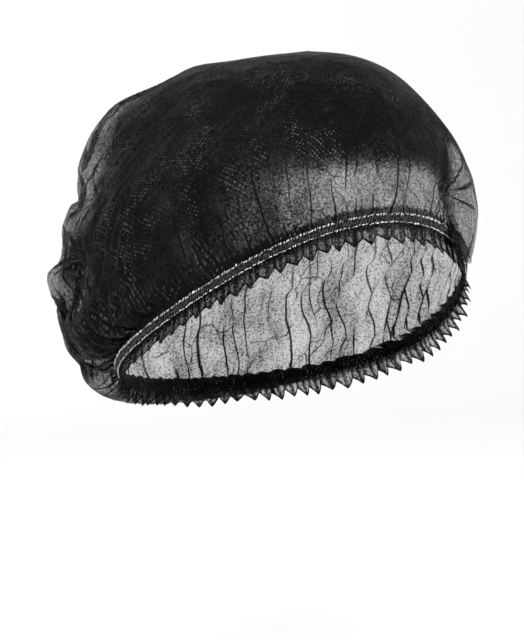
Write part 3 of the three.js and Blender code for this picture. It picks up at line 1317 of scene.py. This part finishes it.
@dataclass
class Crown:
    """The gathered crown: one sheer sheet, puffed up and bagged out at the back.

    A light is the share of light that passes the cloth: where it lies close, low at the front, where it
    stands free and in the puff. Layers are further layers of cloth that a hem, a crease or a sharp bend
    has. Smoothed is the share of the gathers and creases that the puff goes without, and loose holds the
    angles from the front between which free cloth starts to hang loose, in degrees.
    """

    form: CapForm
    rim: Rim
    bag: BagFolds = BagFolds()
    puff: SidePuff = SidePuff()
    front: ThinFront = ThinFront()
    free: FreeCloth = FreeCloth()
    spare: SpareCloth = SpareCloth()
    thickness: float = CLOTH_THICKNESS
    columns: int = 480
    row: float = 2.9 * MM
    settled_share: float = 0.985
    waves: Range = (110, 165)
    close_light: float = 0.012
    front_light: float = 0.62
    free_light: float = 0.48
    puff_light: float = 0.57
    creases_start: Range = (BEHIND_ELASTIC, 3 * BEHIND_ELASTIC)
    clear: Range = (4 * MM, 11 * MM)
    hem: float = 5.2 * MM
    hem_rise: float = 4 * MM
    hem_blur: float = 1.5 * MM
    hem_layers: float = 4
    crease_layers: float = 0.6
    bend_layers: float = 0.8
    bend_radius: float = 2 * MM
    fold_density: float = 2.6
    gathered: float = 40 * MM
    free_gathered: float = 20 * MM
    smoothed: float = 0.8
    loose: Range = (75, 120)
    sheet: bpy.types.Object = field(init=False)

    def build(self, material: bpy.types.Material) -> None:
        """Makes the sheet.

        Args:
            material: The cloth's finish.
        """
        length = float(self.form.lengths(self.columns).mean())
        shares = np.arange(0, self.settled_share, self.row / length)
        heights = shares * length
        smooth = self.bag.on(self.form.sheet(shares, self.columns), heights)
        smooth = self.puff.overhung(smooth, heights, self.form.rim(self.columns))
        settled = self.spare.settle(smooth, heights, self.puff.hanging(self.columns))
        apex = np.repeat(self.form.rows[-1:, :1], self.columns, axis=1)
        known = np.append(shares, 1.0)
        surface = np.concatenate([settled, apex])
        strips = []
        for columns, rises in self._bands(length):
            even = columns_at(surface, columns, lambda order: fall(*self.waves, order))
            rows = rows_at(known, even, rises / length)
            strips.append(self._strip(rows, rises, length))
        strips.append(strips[-1].last(apex[0, 0]))
        self.sheet = new_object("crown_sheet", sheet_mesh("crown_sheet", strips))
        thicken(self.sheet, self.thickness)
        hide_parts("crown")
        finish_piece(self.sheet, material)

    @staticmethod
    def _bands(length: float) -> list[tuple[int, np.ndarray]]:
        """Chooses the rows of the finished sheet, in bands with fewer columns towards the apex.

        Args:
            length: Mean length of the cloth from rim to apex.

        Returns:
            Numbers of columns, and the heights of the rows that have them, from the rim upwards.
        """
        low, middle = 15 * MM, 150 * MM
        high, top, end = (length * share for share in (0.925, 0.975, 0.992))
        return [
            (896, np.arange(0, low, 0.85 * MM)),
            (448, low + (middle - low) * np.linspace(0, 1, 58) ** 1.15),
            (224, np.linspace(middle, high, 16)[1:]),
            (112, np.linspace(high, top, 6)[1:]),
            (56, np.linspace(top, end, 4)[1:]),
        ]

    def _strip(self, rows: np.ndarray, rises: np.ndarray, length: float) -> Strip:
        """Adds the fine creases to rows of the settled sheet, and works out its density.

        Args:
            rows: The rows.
            rises: Their heights above the rim.
            length: Mean length of the cloth from rim to apex.

        Returns:
            The finished rows.
        """
        columns = rows.shape[1]
        turn = (np.arange(columns) / columns * TURN + math.pi) % TURN - math.pi
        place = self.rim.place(turn % TURN)
        place = np.where(turn < 0, place - self.rim.length, place)[None, :]
        rise = rises[:, None]
        degrees = np.degrees(turn)
        smooth = self.form.sheet(rises / length, columns)
        creases = Creases(self.rim)
        crease = creases.at(place, rise)
        fold = self.puff.fold(-degrees, rise)
        puff = self.puff.cover(-degrees, rise, smooth[..., 2])
        free = self.free.cover(degrees, smooth)
        clear = smoothstep(*self.clear, rise)
        density = np.full(rows.shape[:2], -math.log(self.close_light))
        for light, zone in (
            (self.free_light, free * clear),
            (self.front_light, self.front.cover(degrees, rise)),
            (self.puff_light, puff * clear),
        ):
            density = density + (-math.log(light) - density) * zone
        hem = self.hem + self.hem_rise * crease
        layers = 1 + self.hem_layers * fall(-self.hem_blur, self.hem_blur, rise - hem)
        layers = layers + self.crease_layers * crease
        layers = layers + self.bend_layers * np.clip(self._bend(rows) * self.bend_radius, 0, 1)
        gathered = bell(0, self.gathered + self.free_gathered * free, rise)
        values = {
            Layer.DENSITY: (density * layers + self.fold_density * fold) / 2,
            Layer.GATHERED: gathered * (1 - self.smoothed * puff),
            Layer.LOOSE: free * smoothstep(*self.loose, np.abs(degrees)),
        }
        depth = creases.depth * (1 - self.smoothed * self.puff.hanging(columns))
        shift = depth * crease * smoothstep(*self.creases_start, rise) + self.puff.fold_depth * fold
        ring = np.linalg.norm(np.roll(smooth, -1, axis=1) - smooth, axis=2).sum(axis=1)[:, None]
        climb = rise / length * self.form.lengths(columns)
        maps = {
            Layer.CLOTH: stacked(turn / TURN * ring, climb, ring),
            Layer.BESIDE: stacked(place, rise, self.rim.length),
            Layer.PINCH: stacked(*self.puff.from_pinch(rows, self.rim), self.rim.length),
        }
        return Strip(rows - normals_of(rows) * shift[..., None], values, maps)

    @staticmethod
    def _bend(rows: np.ndarray) -> np.ndarray:
        """How sharply the cloth bends round the cap at each point, as one over its radius."""
        after, before = np.roll(rows, -1, axis=1), np.roll(rows, 1, axis=1)
        turn = np.linalg.norm(after - 2 * rows + before, axis=2)
        return turn / np.maximum(np.linalg.norm(after - before, axis=2) ** 2 / 4, 1e-12)


@dataclass
class Ruffle:
    """The margin of the cloth below the elastic, pressed into small knife pleats.

    Widths, lengths, depths and leans hold the least and the most of a pleat, as shares. Drop and depth
    are those of a usual pleat's tip, notch is how much shorter the margin hangs between two tips, and
    crest is where a tip lies across its pleat. Flares are in degrees, and through is the share of light
    that passes one layer. Other pairs are shares of the way down, or of the way to a tip or a notch.
    """

    rim: Rim
    pleats: int = 76
    widths: Range = (0.76, 1.24)
    drop: float = 8 * MM
    lengths: Range = (0.85, 1.12)
    notch: float = 0.36
    depth: float = 2.89 * MM
    depths: Range = (0.7, 1.15)
    leans: Range = (0.045, 0.36)
    crest: float = 0.3
    seam: float = 0.15 * MM
    start: float = 3 * MM
    start_share: float = 0.25
    opening: float = 0.8
    front_flare: float = 10
    side_flare: float = 32
    per_pleat: int = 14
    rows: int = 11
    thickness: float = CLOTH_THICKNESS
    through: float = 0.3
    seam_layers: float = 2.5
    seam_end: Range = (0.1, 0.4)
    fold_layers: float = 2.0
    tip_fold: Range = (0.6, 1.0)
    notch_fold: Range = (0.75, 1.0)
    hem_layers: float = 4.0
    hem: Range = (0.84, 0.95)
    gathered: float = 0.3
    seed: int = 4
    sheet: bpy.types.Object = field(init=False)

    def build(self, material: bpy.types.Material) -> None:
        """Makes the sheet.

        Args:
            material: The cloth's finish.
        """
        rng = np.random.default_rng(self.seed)
        pitch = rng.uniform(*self.widths, self.pleats)
        ends = np.concatenate([[0.0], np.cumsum(pitch)]) / pitch.sum() * self.rim.length
        tall, deep, lean = (
            np.repeat(rng.uniform(*limits, self.pleats), self.per_pleat)
            for limits in (self.lengths, self.depths, self.leans)
        )
        share = np.tile(np.arange(self.per_pleat) / self.per_pleat, self.pleats)
        wide = np.repeat(np.diff(ends), self.per_pleat)
        place = np.repeat(ends[:-1], self.per_pleat) + share * wide
        tooth = np.where(share < self.crest, share / self.crest, (1 - share) / (1 - self.crest))
        wave = np.sin(math.pi * share ** (math.log(0.5) / math.log(self.crest)))
        down = np.linspace(1, 0, self.rows)[:, None]
        opened = down**self.opening
        side = np.sin(self.rim.angle(place)) ** 2
        flare = np.radians(self.front_flare + (self.side_flare - self.front_flare) * side)
        drop = down * self.drop * tall * (1 - self.notch * (1 - tooth))
        proud = drop * np.sin(flare) + self.depth * deep * opened * wave
        rise = -self.seam - self.start * np.minimum(1, down / self.start_share) - drop * np.cos(flare)
        points = self.rim.point(place + lean * wide * (wave - 0.5) * opened, rise, proud)
        folds = np.maximum(smoothstep(*self.tip_fold, tooth), smoothstep(*self.notch_fold, 1 - tooth))
        layers = 1 + self.seam_layers * fall(*self.seam_end, down) + self.fold_layers * folds
        layers = layers + self.hem_layers * smoothstep(*self.hem, down)
        size = points.shape[:2]
        values = {
            Layer.DENSITY: -math.log(self.through) * layers / 2,
            Layer.GATHERED: np.full(size, self.gathered),
            Layer.LOOSE: np.zeros(size),
        }
        beside = stacked(place, -down * (self.drop + self.start), self.rim.length)
        maps = {Layer.CLOTH: beside, Layer.BESIDE: beside, Layer.PINCH: np.ones((*size, 3))}
        strip = Strip(points, values, maps)
        self.sheet = new_object("ruffle_sheet", sheet_mesh("ruffle_sheet", [strip]))
        thicken(self.sheet, self.thickness)
        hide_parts("ruffle")
        finish_piece(self.sheet, material)


@dataclass
class Elastic:
    """The knitted elastic that holds the cap, with the stitching that sews it to the cloth.

    Attributes:
        back: How far its back stands out from the middle of the cloth.
        thickness: Its thickness with its stitching.
        sunk: How far its front lies behind that.
        soft: Size of its rounded edges.
        rib: Spacing of its ribs.
        stitch: Spacing of the stitches.
        stitch_length: Usual length of a stitch, as a share of that.
        sizes: Smallest and largest stitch, as a share of the usual one.
        seam: Distance of each row of stitches from the elastic's middle.
        uneven: How far a stitch is moved from its even place, as a share of their spacing.
        drift: How far one usually lies off its row.
        swings: Least and most that a thread reaches towards a row, as a share.
    """

    rim: Rim
    width: float = 4.6 * MM
    back: float = 0.8 * MM
    thickness: float = 1.3 * MM
    sunk: float = 0.15 * MM
    soft: float = 0.3 * MM
    rib: float = 1.1 * MM
    rib_depth: float = 0.28 * MM
    stitch: float = 1.3 * MM
    stitch_length: float = 1.15
    bead: float = 0.58 * MM
    sizes: Range = (0.6, 1.15)
    seam: float = 1.8 * MM
    upper_lean: float = 0.95
    lower_lean: float = 0.4
    lean_spread: float = 0.25
    uneven: float = 0.25
    drift: float = 0.13 * MM
    thread: float = 0.26 * MM
    swings: Range = (0.85, 1.0)
    thread_seed: int = 11
    upper_seed: int = 129
    lower_seed: int = 93
    tape: bpy.types.Object = field(init=False)
    trims: list[bpy.types.Object] = field(default_factory=list)

    def build(
        self, tape: bpy.types.Material, yarn: bpy.types.Material, thread: bpy.types.Material
    ) -> None:
        """Makes the tape, its two rows of stitches and the threads across it.

        Args:
            tape: Finish of the tape.
            yarn: Finish of the stitching.
            thread: Finish of the threads that cross the tape.
        """
        self._tape()
        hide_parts("elastic_band")
        finish_piece(self.tape, tape)
        for name, rise, lean, seed in (
            ("upper_stitches", self.seam, self.upper_lean, self.upper_seed),
            ("lower_stitches", -self.seam, self.lower_lean, self.lower_seed),
        ):
            self.trims.append(self._stitches(name, rise, lean, seed))
            finish_piece(self.trims[-1], yarn)
        self.trims.append(self._threads())
        finish_piece(self.trims[-1], thread)

    def _ring(self, name: str, points: np.ndarray) -> bpy.types.Object:
        """Rolls a flat grid into a closed ring.

        Args:
            name: The ring's name.
            points: Its points, by place along the ring and round its section.

        Returns:
            The ring.
        """
        around, section = points.shape[:2]
        bpy.ops.object.select_all(action="DESELECT")
        bpy.ops.mesh.primitive_grid_add(x_subdivisions=around, y_subdivisions=section, size=1)
        ring = bpy.context.active_object
        ring.name = name
        ring.data.name = name
        closed = np.pad(points, ((0, 1), (0, 1), (0, 0)), mode="wrap").transpose(1, 0, 2)
        ring.data.vertices.foreach_set("co", closed.reshape(-1))
        ring.data.update()
        bpy.ops.object.mode_set(mode="EDIT")
        bpy.ops.mesh.select_all(action="SELECT")
        bpy.ops.mesh.remove_doubles(threshold=1e-6)
        bpy.ops.mesh.normals_make_consistent(inside=False)
        bpy.ops.object.mode_set(mode="OBJECT")
        bpy.ops.object.shade_smooth()
        return ring

    def _tape(self) -> None:
        """A flat tape with ribs across it."""
        ribs = round(self.rim.length / self.rib)
        furrow = np.tile([0.0, 0.6, 1.0, 0.6], ribs) * self.rib_depth
        half, back, soft = self.width / 2, self.back, self.soft
        front = back + self.thickness - self.sunk
        inner = half * 0.35
        rise, depth = np.array([
            (half, back + soft), (half, front - soft), (half - soft, front), (inner, front),
            (-inner, front), (-half + soft, front), (-half, front - soft), (-half, back + soft),
            (-half + soft, back), (0, back), (half - soft, back),
        ]).T
        place = np.arange(len(furrow)) / len(furrow) * self.rim.length
        proud = depth - furrow[:, None] * (depth > back + soft)
        self.tape = self._ring("elastic_tape", self.rim.point(place[:, None], rise, proud))

    def _stitches(self, name: str, rise: float, lean: float, seed: int) -> bpy.types.Object:
        """A row of stitches, each a short bead of thread sunk a little into the tape.

        Args:
            name: The row's name.
            rise: Its height above the middle of the tape.
            lean: Angle of its stitches to the tape.
            seed: Seed of its unevenness.

        Returns:
            The row.
        """
        bpy.ops.object.select_all(action="DESELECT")
        bpy.ops.mesh.primitive_uv_sphere_add(segments=8, ring_count=5, radius=0.5)
        bead = bpy.context.active_object
        shape = np.array([vert.co for vert in bead.data.vertices])
        faces = [tuple(face.vertices) for face in bead.data.polygons]
        bpy.data.objects.remove(bead)
        count = round(self.rim.length / self.stitch)
        rng = np.random.default_rng(seed)
        uneven = rng.uniform(-self.uneven, self.uneven, count)
        place = (np.arange(count) + uneven) * self.rim.length / count
        size = np.array([self.stitch * self.stitch_length, self.bead, self.bead])
        local = shape[None] * size * rng.uniform(*self.sizes, (count, 1, 3))
        turn = rng.normal(lean, self.lean_spread, count)
        cos, sin = np.cos(turn)[:, None], np.sin(turn)[:, None]
        x = local[..., 0] * cos - local[..., 1] * sin
        y = local[..., 0] * sin + local[..., 1] * cos
        local = np.stack([x, y, local[..., 2]], axis=-1)
        drift = rise + rng.normal(0, self.drift, count)
        centre = self.rim.point(place, drift, self.back + self.thickness)
        points = np.einsum("nvi,nij->nvj", local, self.rim.frames(place)) + centre[:, None]
        mesh = bpy.data.meshes.new(name)
        shifted = [tuple(i + n * len(shape) for i in face) for n in range(count) for face in faces]
        mesh.from_pydata(points.reshape(-1, 3).tolist(), [], shifted)
        mesh.shade_smooth()
        return new_object(name, mesh)

    def _threads(self) -> bpy.types.Object:
        """Makes the thread that crosses to and fro between the two rows of stitches.

        Returns:
            The thread.
        """
        count = round(self.rim.length / self.stitch)
        around, section = count * 4, 6
        flat, raised = 0.4, 0.3
        place = np.arange(around)[:, None] / around * self.rim.length
        rng = np.random.default_rng(self.thread_seed)
        swing = np.tile([0.0, 1.0, 0.0, -1.0], count) * self.seam * rng.uniform(*self.swings, around)
        turn = np.arange(section) / section * TURN
        beside = self.thread / 2 * np.sin(turn)
        proud = self.back + self.thickness + self.thread / 2 * (raised + np.cos(turn))
        rise = swing[:, None] + beside * flat
        return self._ring("cross_threads", self.rim.point(place + beside, rise, proud))


@dataclass
class Studio:
    """Plain pale surroundings, soft light, and the camera at the photograph's angle.

    Attributes:
        azimuth: The camera's turn round the cap from its front, in degrees.
        elevation: Its height above the horizon, in degrees.
        roll: Its turn about its own axis, in degrees.
        distance: Its distance from the middle of the cap's opening.
        aim_right: How far to its right of that middle it aims.
        aim_up: How far above that middle it aims.
        scale: Photograph's pixels to a metre at that distance.
        long_side: Pixels along the photograph's longer side.
        sensor: Width of its sensor, in millimetres.
        bend: Radius of the floor's curve up into the backdrop.
    """

    azimuth: float = -32.8
    elevation: float = 1.9
    roll: float = -0.45
    distance: float = 1.3
    aim_right: float = -11.6 * MM
    aim_up: float = -6.9 * MM
    scale: float = 2110
    long_side: int = 640
    sensor: float = 36
    floor_level: float = -0.2
    floor_front: float = 3.0
    floor_back: float = 1.6
    floor_half: float = 4.0
    bend: float = 0.5
    backdrop: float = 3.0
    paint: Colour = (0.88, 0.88, 0.88, 1)
    roughness: float = 0.9

    def build(self) -> None:
        """Makes the floor, the lights and the camera."""
        self._backdrop()
        self._lights()
        self._camera()

    def _backdrop(self) -> None:
        """A pale floor that curves up into a backdrop."""
        bend, back = self.bend, self.floor_back
        turn = np.linspace(0, math.pi / 2, 13)
        line = [(-self.floor_front, 0.0)]
        line += [(back + bend * math.sin(a), bend - bend * math.cos(a)) for a in turn]
        line.append((back + bend, self.backdrop))
        half = self.floor_half
        points = [(x, y, z + self.floor_level) for y, z in line for x in (-half, half)]
        faces = [(2 * i, 2 * i + 1, 2 * i + 3, 2 * i + 2) for i in range(len(line) - 1)]
        mesh = bpy.data.meshes.new("floor")
        mesh.from_pydata(points, [], faces)
        mesh.shade_smooth()
        floor = new_object("floor", mesh)
        finish = {"Base Color": self.paint, "Roughness": self.roughness}
        mesh.materials.append(MaterialTree("pale floor").shade(finish))

    def _lights(self) -> None:
        """A large soft key light, a fill, and a white surround."""
        world = bpy.data.worlds.new("surround")
        world.use_nodes = True
        surround = {"Color": (1, 1, 1, 1), "Strength": 1.0}
        NodeTree(world.node_tree).fill(world.node_tree.nodes["Background"], surround)
        bpy.context.scene.world = world
        for name, place, size, power in (
            ("key", (-0.9, -1.1, 1.1), 0.9, 20.0),
            ("fill", (1.1, -0.9, 0.5), 0.9, 8.0),
        ):
            light = bpy.data.lights.new(name, "AREA")
            light.size = size
            light.energy = power
            lamp = new_object(name, light)
            lamp.location = place
            lamp.rotation_euler = (-Vector(place)).to_track_quat("-Z", "Y").to_euler()

    def _camera(self) -> None:
        """A camera at the photograph's viewing angle and framing."""
        a, e = math.radians(self.azimuth), math.radians(self.elevation)
        back = Vector((math.sin(a) * math.cos(e), -math.cos(a) * math.cos(e), math.sin(e)))
        right = Vector((math.cos(a), math.sin(a), 0))
        place = back * self.distance
        aim = right * self.aim_right + back.cross(right) * self.aim_up
        data = bpy.data.cameras.new("camera")
        data.sensor_width = self.sensor
        data.lens = data.sensor_width * self.scale * self.distance / self.long_side
        camera = new_object("camera", data)
        camera.location = place
        camera.rotation_mode = "QUATERNION"
        level = (aim - place).to_track_quat("-Z", "Y")
        camera.rotation_quaternion = level @ Quaternion((0, 0, 1), math.radians(self.roll))
        bpy.context.scene.camera = camera


def main() -> None:
    """Builds the cap and its surroundings."""
    logging.basicConfig(level=logging.INFO, format="%(name)s: %(message)s")
    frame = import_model()
    scene = bpy.context.scene
    scene.view_settings.view_transform = "Standard"
    scene.cycles.transparent_max_bounces = 16
    Studio().build()
    form = CapForm.from_solid(frame["nodes"]["crown"])
    rim = form.rim()
    lengths = form.lengths(4)
    yarn = yarn_group()
    veil = VeilFinish().material()
    # Each yarn runs from its dark colour, painted shade in the twist's hollows, to its light colour,
    # partly its own colour and partly a painted highlight on its raised strands.
    soot, coal = (0.002, 0.0021, 0.002, 1), (0.009, 0.0095, 0.009, 1)
    ash, slate, chalk = (0.02, 0.021, 0.02, 1), (0.1, 0.11, 0.1, 1), (0.9, 0.93, 0.9, 1)
    black = YarnFinish(yarn, "black elastic", soot, coal).material()
    grey = YarnFinish(yarn, "pale grey stitching", ash, chalk, strand=1.4 * MM).material()
    dim = YarnFinish(yarn, "dark grey thread", soot, slate, strand=1.0 * MM).material()
    crown = Crown(form, rim)
    crown.build(veil)
    ruffle = Ruffle(rim)
    ruffle.build(veil)
    elastic = Elastic(rim)
    elastic.build(black, grey, dim)


if __name__ == "__main__":
    main()
